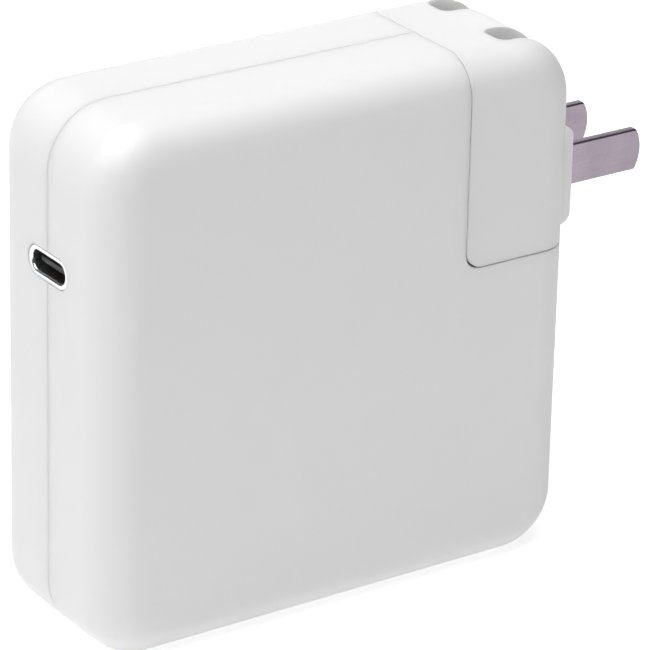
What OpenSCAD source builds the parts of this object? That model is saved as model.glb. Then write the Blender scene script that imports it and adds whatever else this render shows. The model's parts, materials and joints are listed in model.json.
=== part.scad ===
// Laptop power adapter: a square white case in two halves, a plug head that
// slides off one corner, folding mains blades in that head and a USB-C outlet.
// Frame: X runs from the outlet side to the plug side, Y from the front face
// to the rear face, Z upwards. The origin is the middle of the base.

/* [Case] */
// Height and width of the square case
side = 80; // [78:1:110]
// Thickness of the case between its two large faces
depth = 29; // [28:0.5:38]
// Radius of the four corners of the square outline
corner_r = 9.2; // [8:0.2:12]
// Radius of the edges around the two large faces
edge_r = 5.9; // [4:0.1:6.5]
// Thickness of the case walls
wall = 1.8; // [1.4:0.1:2.4]
// Depth of the tongue that joins the two halves
lip_depth = 1.5; // [1:0.1:2]

/* [Plug head] */
// Width of the removable plug head
head_w = 19.5; // [18.5:0.5:24]
// Height of the removable plug head
head_h = 31.5; // [31:0.5:38]
// Radius of the head's lower inner corner
head_corner_r = 2.8; // [2:0.1:4]
// Thickness of the head's walls
head_wall = 1.6; // [1.2:0.1:2]
// Thickness of the plate that closes the head towards the case
base_t = 0.8; // [0.8:0.1:1]
// Gap between the head and its bay in the case
bay_gap = 0.15; // [0.15:0.05:0.4]
// Thickness of the bay's wall
bay_wall = 1.6; // [1.2:0.1:2]

/* [Mains blades] */
// Distance between the middles of the two blades
blade_pitch = 12.7; // [12:0.1:15.5]
// Height of a blade
blade_h = 6.35; // [5.5:0.05:7]
// Thickness of a blade
blade_t = 1.5; // [1.2:0.1:1.8]
// Reach of the blade tips beyond the plug face
blade_reach = 17; // [14:0.5:18]
// Radius of the rounded blade tips
tip_round = 5.5; // [4:0.5:8]
// Height of the blades' middle above the hinge
blade_up = 1.8; // [1:0.1:2]

/* [Blade carrier] */
// Distance of the hinge behind the plug face
hinge_in = 6; // [5.5:0.1:6.5]
// Height of the hinge above the bottom of the head
hinge_up = 7; // [7:0.1:8]
// Radius of the hinge pins
pin_r = 1; // [0.8:0.1:1.2]
// How far the carrier's pad stands proud of the plug face
pad_proud = 2.9; // [2:0.1:3.2]
// Radius of the pad's outer edges
pad_edge_r = 1.8; // [1:0.1:2.5]
// How far the pad reaches below the hub, outside the head
pad_drop = 0.5; // [0.1:0.1:0.8]
// Running clearance around the carrier
carrier_gap = 0.25; // [0.2:0.05:0.4]

/* [Appliance inlet] */
// Distance of the inlet's middle behind the plug face
inlet_in = 10; // [9.5:0.5:11]
// Distance between the two inlet pins
inlet_pitch = 8.6; // [8.6:0.1:9]
// Radius of an inlet pin
inlet_pin_r = 1.18; // [1:0.01:1.3]
// Length of the nose under the plug head
nose_len = 10; // [9:0.5:11]
// Clearance between the nose and the cavity that takes it
nose_gap = 0.3; // [0.2:0.05:0.5]

/* [USB-C outlet] */
// Height of the outlet's middle above the base
port_z = 57; // [54:0.1:60]
// Inner width of the outlet
port_w = 8.34; // [8.3:0.02:8.5]
// Inner height of the outlet
port_h = 2.56; // [2.5:0.02:2.7]
// Thickness of the steel rim at the face of the case
port_rim = 0.8; // [0.4:0.02:0.9]
// Thickness of the steel shell behind the rim
port_shell_t = 0.3; // [0.25:0.05:0.4]
// Length of the steel shell from the face of the case
port_len = 7.35; // [7:0.05:9]

/* [Board] */
// Thickness of the circuit board
board_t = 1.6; // [1:0.2:2]
// Room behind the board for soldered ends
solder_gap = 1.8; // [1.5:0.1:2.5]
// Margin between the board and the case wall
board_margin = 2.2; // [1.5:0.1:3]
// Thickness of the metal heat spreaders
spreader_t = 0.6; // [0.4:0.1:0.8]
// Thickness of the insulating films
film_t = 0.3; // [0.2:0.1:0.5]

/* [Components] */
// Diameter of the bulk capacitor
bulk_d = 18; // [14:0.5:18]
// Length of the bulk capacitor
bulk_len = 32; // [25:1:34]
// Width and depth of the transformer core
core_w = 24; // [20:1:25]
// Height of the transformer above the board
transformer_h = 17; // [14:0.5:18]
// Diameter of an output capacitor
can_d = 10; // [8:0.5:10]
// Height of an output capacitor
can_h = 16; // [12:1:18]

/* [Hidden] */
$fn = 64;
// Clearance of parts that are only laid or glued in place
fit = 0.1;
// Length that takes every cut well past the surfaces it opens
past = 300;

// Case
mid_x = side / 2 - corner_r;
inner_y = depth / 2 - wall;
lip_t = wall / 2 - fit;

// Plug head: left and bottom faces
head_x = side / 2 - head_w;
head_z = side - head_h;

// Bay in the case
bay_x = head_x - bay_gap;
bay_z = head_z - bay_gap;
liner_x = bay_x - bay_wall;

// Locking stud
stud_z = head_z + 11.5;
stem_r = 2;
stud_head_r = 3.5;
stud_head_t = 1;
stud_gap = 0.3;
clip_t = 0.6;
clip_x = head_x + base_t;
stud_head_x = clip_x + clip_t + stud_gap;
housing_x = stud_head_x + stud_head_t + stud_gap;
nut_t = 2;
nut_r = 3.4;

// Hinge and carrier, measured from the hinge
hinge_x = side / 2 - hinge_in;
hinge_z = head_z + hinge_up;
blade_z = hinge_z + blade_up;
blade_y = blade_pitch / 2;
carrier_r = hinge_in - fit;
carrier_out = hinge_in + pad_proud;
carrier_half = blade_y + blade_t / 2 + 2;
recess_half = carrier_half + 0.3;
recess_reach = carrier_out + fit + 3;
slot_in = 1.2;
slot_out = 2.3;
slot_near = blade_y - blade_t / 2 - slot_in;
slot_far = blade_y + blade_t / 2 + slot_out;
slot_back = hinge_x - blade_up - blade_h / 2 - 0.2;
cheek_t = 1.6;
cheek_half = recess_half + cheek_t;
eye_r = 3;
leaf_gap = 0.15;
leaf_t = 0.45;
leaf_x = hinge_x - eye_r - leaf_gap - leaf_t;
slit_gap = 0.15;
slit_end = 1.3;
blade_root = 1;
blade_fit = 0.05;

// Appliance inlet
inlet_x = side / 2 - inlet_in;
pin_y = inlet_pitch / 2;
nose_r = 3.4;
nose_waist = 2.75;
cavity_r = nose_r + nose_gap;
cavity_floor = head_z - nose_len - 0.5;
floor_t = 2.5;
inlet_bottom = cavity_floor - floor_t;
inlet_half_x = cavity_r + 1.5;
inlet_half_y = pin_y + cavity_r + 1.5;
pin_top = cavity_floor + 8.5;
pin_bottom = inlet_bottom - 3;
sleeve_r = 1.65;
sleeve_bore = inlet_pin_r + 0.07;
sleeve_top = head_z - 0.2;
foot_far = blade_y + blade_t / 2 + slit_gap;

// USB-C outlet: tongue, its block and the small board under the shell
tongue_t = 0.7;
tongue_w = 6.69;
tongue_start = -side / 2 + 1.1;
tongue_block = 1.35;
output_board_z = port_z - port_h / 2 - port_shell_t;

// Board and what stands on it
film_y = inner_y - spreader_t - film_t;
board_back = film_y - solder_gap;
board_front = board_back - board_t;
board_left = -side / 2 + wall + board_margin;
board_right = side / 2 - wall - board_margin;
board_low = wall + board_margin;
board_high = side - wall - board_margin;
board_step_x = liner_x - 2.15;
board_step_z = inlet_bottom - 1;
post_in = 3;
post_r = 2;
spigot_r = 1;
spigot_gap = 0.15;
POSTS = [
    [board_left + post_in, board_low + post_in],
    [board_right - post_in, board_low + post_in],
    [board_left + post_in, board_high - post_in],
    [board_step_x - post_in - 0.5, board_high - post_in]];

// Leads between the inlet pins and the board
lead_r = 0.6;
lead_z = pin_bottom - lead_r;
lead_bend = 1.2;
lead_step = 3;

// Places of the components
bulk_x = inlet_x - bulk_len;
bulk_z = board_low + 1 + bulk_d / 2;
bulk_top = bulk_z + bulk_d / 2;
x_cap_right = board_step_x - 8;
x_cap_size = [17.5, 14, 8.5];
x_cap_z = board_high - 0.5 - x_cap_size[2];
core_x = liner_x - 4.65 - core_w / 2;
core_z = x_cap_z - 2 - core_w / 2;
core_plate_t = 3.5;
core_foot = 1.5;
core_deep = 18;
core_post_r = 4;
core_window_low = board_front - core_foot - core_plate_t;
core_window_high = board_front - transformer_h + core_plate_t;
bobbin_half = core_w / 2 - core_plate_t - 0.2;
flange_t = 0.8;
tube_r = core_post_r + 0.9;
choke_x = board_left + 10;
choke_z = port_z - 18.8;
choke_r = 7.2;
choke_bore = 4;
choke_h = 6;
turn_t = 0.8;
heatsink_t = 2;
heatsink_x = bulk_x - 3 - heatsink_t;
CANS = [
    [board_left + 7.5, board_low + 8],
    [board_left + 18.5, board_low + 8],
    [board_left + 7.5, board_low + 19.5]];
CHIPS = [
    [board_left + 8, board_high - 5, 7, 5],
    [board_left + 18, board_high - 5, 5, 5],
    [board_left + 9, board_high - 12, 5, 4]];

// Colours
WHITE = "#f1f2f2";
GREY_WHITE = "#dcdddd";
STEEL = "#c9ccd0";
NICKEL = "#b3aab6";
BRASS = "#c9a253";
TIN = "#c7c9c6";
FERRITE = "#3b3d40";
COPPER = "#b8733c";
BOARD_GREEN = "#2f6a45";

// Outlines and blocks of the case -----------------------------------------

// Square outline with round corners, drawn in by inset; X across, Y up
module outline(inset) {
    r = corner_r - inset;
    translate([-mid_x - r, corner_r]) square([2 * (mid_x + r), 2 * mid_x]);
    translate([-mid_x, inset]) square([2 * mid_x, side - 2 * inset]);
    for (x = [-mid_x, mid_x])
        for (y = [corner_r, side - corner_r])
            translate([x, y]) circle(r);
}

// Section of the rim from a corner's middle outwards, Y being the depth
module rim_section(inset, from) {
    out = corner_r - inset;
    high = depth / 2 - inset;
    r = edge_r - inset;
    translate([0, from]) square([out - r, high - from]);
    translate([out - r, from]) square([r, high - r - from]);
    translate([out - r, high - r]) intersection() {
        circle(r);
        square(r);
    }
}

// Half of the rounded block, from a level up to its large face along Z
module half_block(inset, from = 0) {
    translate([0, side / 2, 0]) {
        translate([-mid_x, -mid_x, from])
            cube([2 * mid_x, 2 * mid_x, depth / 2 - inset - from]);
        for (k = [0 : 3]) rotate([0, 0, 90 * k]) translate([mid_x, mid_x, 0]) {
            rotate_extrude(angle = 90) rim_section(inset, from);
            rotate([90, 0, 0]) linear_extrude(2 * mid_x) rim_section(inset, from);
        }
    }
}

// Stand a shape drawn in the XY plane upright, its Z towards the front face
module front_facing() {
    rotate([90, 0, 0]) children();
}

// The same, with its Z towards the rear face
module rear_facing() {
    mirror([0, 1, 0]) rotate([90, 0, 0]) children();
}

// The whole rounded block
module block(inset) {
    front_facing() half_block(inset);
    rear_facing() half_block(inset);
}

// Carry an upright outline from one depth to another
module upright(from_y, to_y) {
    translate([0, to_y, 0]) front_facing() linear_extrude(to_y - from_y) children();
}

// Region of the plug head's corner, grown outwards by grow
module bay_zone(grow) {
    r = head_corner_r + grow;
    translate([head_x - grow + r, head_z - grow]) square(past);
    translate([head_x - grow, head_z - grow + r]) square([r, past]);
    translate([head_x - grow + r, head_z - grow + r]) circle(r);
}

// Cut through the case for the bay
module bay_cut(grow) {
    upright(-past, past) bay_zone(grow);
}

// Rounded slot that lies along Y, centred on the X axis
module port_slot(width, height, from_x, to_x) {
    r = height / 2;
    span = width - height;
    translate([from_x, 0, port_z]) rotate([0, 90, 0]) linear_extrude(to_x - from_x) {
        translate([-r, -span / 2]) square([height, span]);
        for (y = [-span / 2, span / 2]) translate([0, y]) circle(r);
    }
}

// Opening of the outlet in the case wall
module port_opening() {
    port_slot(port_w + 2 * (port_rim + fit), port_h + 2 * (port_rim + fit),
        -side / 2 - 1, -side / 2 + wall + 1);
}

// Case halves --------------------------------------------------------------

module front_case() {
    color(WHITE) difference() {
        front_facing() difference() {
            half_block(0);
            half_block(wall, -1);
            translate([0, 0, -1]) linear_extrude(1 + lip_depth + fit) outline(wall - lip_t - fit);
        }
        bay_cut(bay_gap);
        port_opening();
    }
}

// Post that carries the board and its spigot through the board
module board_post() {
    translate([0, 0, -inner_y]) cylinder(h = inner_y - board_back, r = post_r);
    translate([0, 0, -board_back]) cylinder(h = board_t, r = spigot_r);
}

module rear_case() {
    color(WHITE) difference() {
        union() {
            rear_facing() difference() {
                half_block(0);
                half_block(wall, -1);
            }
            upright(-lip_depth, 0) difference() {
                outline(wall - lip_t);
                outline(wall);
            }
            for (p = POSTS) translate([p[0], 0, p[1]]) rotate([90, 0, 0]) board_post();
        }
        bay_cut(bay_gap);
        port_opening();
    }
}

// Bay and appliance inlet --------------------------------------------------

// Figure-eight outline of the inlet, drawn with X across and Y along the pins
module figure_eight(r, waist) {
    translate([-waist, -pin_y]) square([2 * waist, 2 * pin_y]);
    for (y = [-pin_y, pin_y]) translate([0, y]) circle(r);
}

module bay_liner() {
    color(GREY_WHITE) difference() {
        union() {
            intersection() {
                block(wall + fit);
                upright(-inner_y, inner_y) difference() {
                    bay_zone(bay_gap + bay_wall);
                    bay_zone(bay_gap);
                }
            }
            translate([inlet_x - inlet_half_x, -inlet_half_y, inlet_bottom])
                cube([2 * inlet_half_x, 2 * inlet_half_y, bay_z - inlet_bottom - bay_wall / 2]);
        }
        translate([inlet_x, 0, cavity_floor]) linear_extrude(past)
            figure_eight(cavity_r, nose_waist + nose_gap);
        for (y = [-pin_y, pin_y])
            translate([inlet_x, y, inlet_bottom - 1])
                cylinder(h = floor_t + 2, r = inlet_pin_r + 0.02);
        translate([liner_x - 1, 0, stud_z]) rotate([0, 90, 0])
            cylinder(h = bay_wall + 2, r = stem_r + 0.05);
    }
}

// Pin of the inlet with a rounded tip, on the side given
module inlet_pin(y) {
    tip = 0.5;
    translate([inlet_x, y, pin_bottom]) rotate_extrude() {
        square([inlet_pin_r, pin_top - pin_bottom - tip]);
        square([inlet_pin_r - tip, pin_top - pin_bottom]);
        translate([inlet_pin_r - tip, pin_top - pin_bottom - tip]) intersection() {
            circle(tip);
            square(tip);
        }
    }
}

module line_pin() {
    color(BRASS) inlet_pin(pin_y);
}

module neutral_pin() {
    color(BRASS) inlet_pin(-pin_y);
}

module lock_stud() {
    start = liner_x - nut_t;
    color(STEEL) translate([start, 0, stud_z]) rotate([0, 90, 0]) {
        cylinder(h = stud_head_x - start, r = stem_r);
        translate([0, 0, stud_head_x - start]) cylinder(h = stud_head_t, r = stud_head_r);
    }
}

module stud_nut() {
    color(STEEL) translate([liner_x - nut_t, 0, stud_z]) rotate([0, 90, 0]) difference() {
        cylinder(h = nut_t, r = nut_r, $fn = 6);
        translate([0, 0, -1]) cylinder(h = nut_t + 2, r = stem_r + 0.02);
    }
}

// Straight piece of lead along Y towards the board
module lead_run(x, from_y) {
    translate([x, from_y, lead_z]) rotate([-90, 0, 0]) cylinder(h = board_front - from_y, r = lead_r);
}

module line_lead() {
    color(COPPER) lead_run(inlet_x, pin_y);
}

module neutral_lead() {
    color(COPPER) {
        translate([inlet_x, -pin_y, lead_z]) rotate([0, 90, 0])
            cylinder(h = lead_step - lead_bend, r = lead_r);
        translate([inlet_x + lead_step - lead_bend, -pin_y + lead_bend, lead_z])
            rotate([0, 0, -90]) rotate_extrude(angle = 90) translate([lead_bend, 0]) circle(lead_r);
        lead_run(inlet_x + lead_step, -pin_y + lead_bend);
    }
}

// Boards ---------------------------------------------------------------------

module main_board() {
    color(BOARD_GREEN) difference() {
        upright(board_front, board_back) difference() {
            outline(wall + board_margin);
            translate([board_step_x, board_step_z]) square(past);
        }
        for (p = POSTS)
            translate([p[0], board_back + 1, p[1]]) rotate([90, 0, 0])
                cylinder(h = board_t + 2, r = spigot_r + spigot_gap);
    }
}

module output_board() {
    thick = 1.2;
    back = board_left + 14;
    front_y = -8;
    color(BOARD_GREEN)
        translate([-side / 2 + wall + 0.3, front_y, output_board_z - thick])
            cube([back + side / 2 - wall, board_front - front_y, thick]);
}

// USB-C outlet ---------------------------------------------------------------

module usb_shell() {
    face = -side / 2;
    color(STEEL) difference() {
        union() {
            port_slot(port_w + 2 * port_rim, port_h + 2 * port_rim, face, face + wall);
            port_slot(port_w + 2 * port_shell_t, port_h + 2 * port_shell_t,
                face + wall, face + port_len);
        }
        port_slot(port_w, port_h, face - 1, face + port_len + 1);
    }
}

module usb_tongue() {
    back = -side / 2 + port_len;
    color("#202226") {
        translate([tongue_start, -tongue_w / 2, port_z - tongue_t / 2])
            cube([back - tongue_block - tongue_start, tongue_w, tongue_t]);
        port_slot(port_w - fit, port_h - fit, back - tongue_block, back);
    }
}

module usb_contacts() {
    pitch = 0.5;
    width = 0.25;
    thick = 0.06;
    reach = 3.9;
    color(BRASS)
        for (i = [0 : 11])
            for (z = [port_z + tongue_t / 2, port_z - tongue_t / 2 - thick])
                translate([tongue_start + 0.5, (i - 5.5) * pitch - width / 2, z])
                    cube([reach, width, thick]);
}

// Components -----------------------------------------------------------------

// Box that stands on the board: X and Z from, size across, height, size up
module on_board(x, z, size) {
    translate([x, board_front - size[1], z]) cube(size);
}

module bulk_capacitor() {
    bead = 0.6;
    bead_x = 3;
    y = board_front - bulk_d / 2 - 0.3;
    color("#20242c") translate([bulk_x, y, bulk_z]) rotate([0, 90, 0]) rotate_extrude() {
        square([bulk_d / 2, bulk_len - bead_x]);
        translate([0, bulk_len - bead_x]) square([bulk_d / 2 - bead, bead]);
        translate([0, bulk_len - bead_x + bead]) square([bulk_d / 2, bead_x - bead]);
    }
}

module transformer_core() {
    leg = core_plate_t;
    post_h = core_window_low - core_window_high;
    color(FERRITE) translate([core_x, 0, core_z]) {
        for (y = [core_window_low, core_window_high - core_plate_t])
            translate([-core_w / 2, y, -core_deep / 2]) cube([core_w, core_plate_t, core_deep]);
        for (x = [-core_w / 2, core_w / 2 - leg])
            translate([x, core_window_high, -core_deep / 2]) cube([leg, post_h, core_deep]);
        translate([0, core_window_low, 0]) rotate([90, 0, 0]) cylinder(h = post_h, r = core_post_r);
    }
}

module transformer_bobbin() {
    low = core_window_low - fit;
    high = core_window_high + fit;
    foot = (core_w - core_deep) / 2 - fit;
    color("#2a2a2c") translate([core_x, 0, core_z]) difference() {
        union() {
            for (y = [low - flange_t, high])
                translate([-bobbin_half, y, -core_w / 2]) cube([2 * bobbin_half, flange_t, core_w]);
            translate([0, low, 0]) rotate([90, 0, 0]) cylinder(h = low - high, r = tube_r);
            for (z = [-core_w / 2, core_w / 2 - foot])
                translate([-bobbin_half, low, z]) cube([2 * bobbin_half, board_front - low, foot]);
        }
        translate([0, low + 1, 0]) rotate([90, 0, 0])
            cylinder(h = low - high + 2, r = core_post_r + fit);
    }
}

module transformer_winding() {
    low = core_window_low - fit - flange_t - 0.1;
    high = core_window_high + fit + flange_t + 0.1;
    color("#d8b23a") translate([core_x, low, core_z]) rotate([90, 0, 0]) difference() {
        cylinder(h = low - high, r = bobbin_half - 0.3);
        translate([0, 0, -1]) cylinder(h = low - high + 2, r = tube_r + 0.1);
    }
}

// Ring of square section around the choke's axis
module choke_ring(outer, inner, from, high, turn = 360) {
    rotate_extrude(angle = turn) translate([inner, from]) square([outer - inner, high]);
}

module choke_core() {
    color(FERRITE) translate([choke_x, board_front, choke_z]) rotate([90, 0, 0])
        choke_ring(choke_r, choke_bore, turn_t + fit, choke_h);
}

module choke_winding() {
    color(COPPER) translate([choke_x, board_front, choke_z]) rotate([90, 0, 0]) difference() {
        choke_ring(choke_r + turn_t, choke_bore - turn_t, 0, choke_h + 2 * (turn_t + fit), 300);
        choke_ring(choke_r + fit, choke_bore - fit, turn_t, choke_h + 2 * fit);
    }
}

module x_capacitor() {
    color("#d7b23b") on_board(x_cap_right - x_cap_size[0], x_cap_z, x_cap_size);
}

// Disc that stands on edge on the board, with two legs
module disc_part(x, z, r, thick) {
    lift = 1.5;
    leg_r = 0.4;
    translate([x, board_front - lift - r, z]) cylinder(h = thick, r = r);
    for (s = [-1, 1])
        translate([x + s * r / 2, board_front, z + thick / 2]) rotate([90, 0, 0])
            cylinder(h = lift + r / 2, r = leg_r);
}

module varistor() {
    color("#2f5fa8") disc_part(bulk_x + 4.5, bulk_top + 2, 5, 4);
}

module y_capacitor() {
    color("#3f74b8") disc_part(bulk_x + 4.5, bulk_top + 7.5, 4, 3.5);
}

module fuse() {
    color("#3a3432") on_board(inlet_x - 12, bulk_top + 1, [8, 7.7, 4]);
}

module bridge_rectifier() {
    color("#26282b") on_board(inlet_x + 1.6, board_low + 5, [3.5, 18, 14]);
}

module primary_heatsink() {
    fin = 4.5;
    color("#b9bdc2") {
        on_board(heatsink_x, board_low + 2, [heatsink_t, 18, 26]);
        translate([heatsink_x - fin, board_front - 18, board_low + 2])
            cube([fin, heatsink_t, 26]);
    }
}

module switching_transistor() {
    tab = 1.3;
    body = 4.4;
    color("#1f2124") {
        translate([heatsink_x - tab, board_front - 15.5, board_low + 9]) cube([tab, 13, 10]);
        translate([heatsink_x - body, board_front - 11.5, board_low + 9])
            cube([body - tab, 9, 10]);
        for (i = [-1 : 1])
            translate([heatsink_x - 2.6, board_front - 3, board_low + 13.6 + 2.54 * i])
                cube([0.5, 3, 0.8]);
    }
}

module output_capacitors() {
    foot = 0.4;
    color("#35302e")
        for (p = CANS) translate([p[0], board_front, p[1]]) rotate([90, 0, 0]) {
            cylinder(h = foot, r = can_d / 2 - 1);
            translate([0, 0, foot]) cylinder(h = can_h - foot, r = can_d / 2);
        }
}

module controller_chips() {
    color("#222426")
        for (c = CHIPS) on_board(c[0] - c[2] / 2, c[1] - c[3] / 2, [c[2], 1.5, c[3]]);
}

// Heat spreaders and films ---------------------------------------------------

// Flat part of the large face, less the bay
module face_sheet() {
    difference() {
        outline(edge_r);
        bay_zone(bay_gap + bay_wall + 0.3);
    }
}

module front_spreader() {
    color("#c4895a") upright(-inner_y, -inner_y + spreader_t) face_sheet();
}

module front_insulator() {
    color("#e9e6d6") upright(-film_y - film_t, -film_y) face_sheet();
}

// Sheet behind the board, with holes for the posts
module rear_sheet(from_y, to_y) {
    upright(from_y, to_y) difference() {
        face_sheet();
        for (p = POSTS) translate(p) circle(post_r + 0.4);
    }
}

module rear_spreader() {
    color("#c4895a") rear_sheet(inner_y - spreader_t, inner_y);
}

module rear_insulator() {
    color("#e9e6d6") rear_sheet(film_y, film_y + film_t);
}

module thermal_pad() {
    pad = core_w - 4;
    top_y = board_front - transformer_h;
    color("#9fb0bd") translate([core_x - pad / 2, -film_y, core_z - core_deep / 2])
        cube([pad, top_y + film_y, core_deep]);
}

// Plug head ------------------------------------------------------------------

// Move a shape drawn around the hinge to its place
module at_hinge() {
    translate([hinge_x, 0, hinge_z]) children();
}

// Outline swept clear for the carrier, drawn around the hinge
module recess_outline() {
    back = carrier_out + carrier_gap;
    intersection() {
        circle(recess_reach);
        translate([-back, -carrier_gap]) square([past, recess_reach + 1]);
    }
    circle(carrier_r + carrier_gap);
    translate([0, -carrier_r - carrier_gap]) square([past, carrier_r + carrier_gap]);
}

module head_shell() {
    floor_z = head_z + base_t + 0.05;
    step_z = hinge_z + recess_reach + 1.6;
    land_half = slot_near - head_wall;
    color(WHITE) difference() {
        union() {
            intersection() {
                difference() {
                    block(0);
                    block(head_wall);
                }
                bay_cut(0);
            }
            intersection() {
                block(head_wall / 2);
                translate([0, -cheek_half, 0]) {
                    translate([housing_x, 0, floor_z]) cube([past, 2 * cheek_half, step_z - floor_z]);
                    translate([slot_back - head_wall, 0, floor_z]) cube([past, 2 * cheek_half, past]);
                }
            }
        }
        at_hinge() upright(-recess_half, recess_half) recess_outline();
        for (s = [-1, 1]) {
            translate([slot_back, s > 0 ? slot_near : -slot_far, hinge_z])
                cube([past, slot_far - slot_near, past]);
            translate([leaf_x - slit_gap, s * blade_y - blade_t / 2 - slit_gap, head_z])
                cube([leaf_t + 2 * slit_gap, blade_t + 2 * slit_gap, hinge_up]);
        }
        at_hinge() translate([0, cheek_half + 1, 0]) rotate([90, 0, 0])
            cylinder(h = 2 * cheek_half + 2, r = pin_r + 0.02);
        upright(-land_half, land_half) intersection() {
            outline(head_wall);
            translate([head_x, step_z]) square(head_w);
        }
    }
}

module head_base() {
    color(GREY_WHITE) difference() {
        union() {
            intersection() {
                block(head_wall + fit);
                upright(-depth / 2, depth / 2) difference() {
                    bay_zone(0);
                    bay_zone(-base_t);
                }
            }
            translate([inlet_x, 0, head_z - nose_len]) linear_extrude(nose_len + base_t)
                figure_eight(nose_r, nose_waist);
        }
        // Path of the locking stud
        translate([head_x - 1, -stem_r - 0.15, head_z - 1])
            cube([base_t + 2, 2 * stem_r + 0.3, stud_z - head_z + 1]);
        translate([head_x - 1, 0, stud_z]) rotate([0, 90, 0])
            cylinder(h = base_t + 2, r = stem_r + 0.15);
        translate([clip_x, -stud_head_r - stud_gap, head_z - 1])
            cube([housing_x - clip_x, 2 * (stud_head_r + stud_gap), head_corner_r + 1.1]);
        // Seats of the sockets and of the contacts' feet
        for (s = [-1, 1]) {
            translate([inlet_x, s * pin_y, head_z - nose_len - 1])
                cylinder(h = nose_len + base_t + 2, r = sleeve_r + fit);
            translate([inlet_x - sleeve_r - fit, s > 0 ? pin_y - sleeve_r : -foot_far, sleeve_top])
                cube([2 * (sleeve_r + fit), foot_far - pin_y + sleeve_r, 2]);
        }
    }
}

module stud_clip() {
    half = 8;
    low = stud_z - 8;
    color(STEEL) difference() {
        translate([clip_x, -half, low]) cube([clip_t, 2 * half, 16]);
        translate([clip_x - 1, -stem_r - 0.15, low - 1])
            cube([clip_t + 2, 2 * stem_r + 0.3, stud_z - low + 1]);
        translate([clip_x - 1, 0, stud_z]) rotate([0, 90, 0])
            cylinder(h = clip_t + 2, r = stem_r + 0.15);
    }
}

// Socket sleeve that takes an inlet pin
module socket(y) {
    low = head_z - nose_len + 1;
    translate([inlet_x, y, low]) difference() {
        cylinder(h = sleeve_top - low, r = sleeve_r);
        translate([0, 0, -1]) cylinder(h = sleeve_top - low + 2, r = sleeve_bore);
    }
}

module line_socket() {
    color(BRASS) socket(pin_y);
}

module neutral_socket() {
    color(BRASS) socket(-pin_y);
}

// Spring leaf from a socket up to the eye of its blade
module contact() {
    foot_t = 0.4;
    top = hinge_z + 0.5;
    translate([inlet_x - sleeve_r, pin_y - sleeve_r + fit, sleeve_top])
        cube([2 * sleeve_r, blade_y + blade_t / 2 - pin_y + sleeve_r - fit, foot_t]);
    translate([leaf_x, blade_y - blade_t / 2, sleeve_top + foot_t])
        cube([leaf_t, blade_t, top - sleeve_top - foot_t]);
}

module line_contact() {
    color(COPPER) contact();
}

module neutral_contact() {
    color(COPPER) mirror([0, 1, 0]) contact();
}

module hinge_pins() {
    start = carrier_half - 1.1;
    end = cheek_half - fit;
    color(STEEL) at_hinge()
        for (s = [0, 180]) rotate([s - 90, 0, 0]) translate([0, 0, start])
            cylinder(h = end - start, r = pin_r);
}

// Blades and their carrier ---------------------------------------------------

// Side view of the carrier around the hinge, blades pointing along X
module carrier_outline() {
    pad_low = -carrier_r - pad_drop;
    pad_in = hinge_in + carrier_gap;
    circle(carrier_r);
    translate([0, -carrier_r]) square([carrier_out - pad_edge_r, carrier_r + carrier_out]);
    translate([pad_in, pad_low]) square([carrier_out - pad_edge_r - pad_in, pad_drop + carrier_r]);
    translate([carrier_out - pad_edge_r, pad_low + pad_edge_r])
        square([pad_edge_r, carrier_out - pad_low - 2 * pad_edge_r]);
    for (z = [pad_low + pad_edge_r, carrier_out - pad_edge_r])
        translate([carrier_out - pad_edge_r, z]) circle(pad_edge_r);
}

// Side view of a blade around the hinge
module blade_outline() {
    tip = hinge_in + blade_reach;
    low = blade_up - blade_h / 2;
    circle(eye_r);
    translate([blade_root, low]) square([tip - tip_round - blade_root, blade_h]);
    intersection() {
        translate([tip - tip_round - 0.5, low]) square([tip_round + 0.5, blade_h]);
        translate([tip - tip_round, blade_up]) circle(tip_round);
    }
}

module prong_carrier() {
    slit_y = blade_t / 2 + slit_gap;
    color(WHITE) at_hinge() difference() {
        upright(-carrier_half, carrier_half) carrier_outline();
        for (s = [-1, 1]) {
            translate([-carrier_r - 1, s * blade_y - slit_y, -carrier_r - 1])
                cube([carrier_r + 1 + slit_end, 2 * slit_y, carrier_r + carrier_out + 2]);
            translate([0, s * blade_y - blade_t / 2 - blade_fit, blade_up - blade_h / 2 - blade_fit])
                cube([past, blade_t + 2 * blade_fit, blade_h + 2 * blade_fit]);
            translate([0, s * blade_y - blade_t / 2 - blade_fit, -eye_r - blade_fit])
                cube([eye_r + blade_fit, blade_t + 2 * blade_fit, 2 * eye_r + 2 * blade_fit]);
        }
        for (s = [0, 180]) rotate([s - 90, 0, 0]) translate([0, 0, carrier_half - 1.2])
            cylinder(h = 3, r = pin_r + 0.05);
    }
}

// Blade with its edges in the side view only, at the side given
module blade(y) {
    at_hinge() upright(y - blade_t / 2, y + blade_t / 2) blade_outline();
}

module line_blade() {
    color(NICKEL) blade(blade_y);
}

module neutral_blade() {
    color(NICKEL) blade(-blade_y);
}

front_case();
rear_case();
bay_liner();
line_pin();
neutral_pin();
lock_stud();
stud_nut();
line_lead();
neutral_lead();
main_board();
output_board();
usb_shell();
usb_tongue();
usb_contacts();
bulk_capacitor();
transformer_core();
transformer_bobbin();
transformer_winding();
choke_core();
choke_winding();
x_capacitor();
y_capacitor();
fuse();
varistor();
bridge_rectifier();
primary_heatsink();
switching_transistor();
output_capacitors();
controller_chips();
front_spreader();
rear_spreader();
front_insulator();
rear_insulator();
thermal_pad();
head_shell();
head_base();
stud_clip();
line_socket();
neutral_socket();
line_contact();
neutral_contact();
hinge_pins();
prong_carrier();
line_blade();
neutral_blade();
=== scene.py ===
"""Looks of a square laptop power adapter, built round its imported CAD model.

Shapes are worked out in millimetres in the part's own frame and put into the
meshes in metres: X runs from the outlet side to the plug side, Y from the front
face to the rear face, Z upwards, and the origin is the middle of the base.
"""

import json
import logging
import math
from dataclasses import dataclass, field
from enum import Enum

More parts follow.
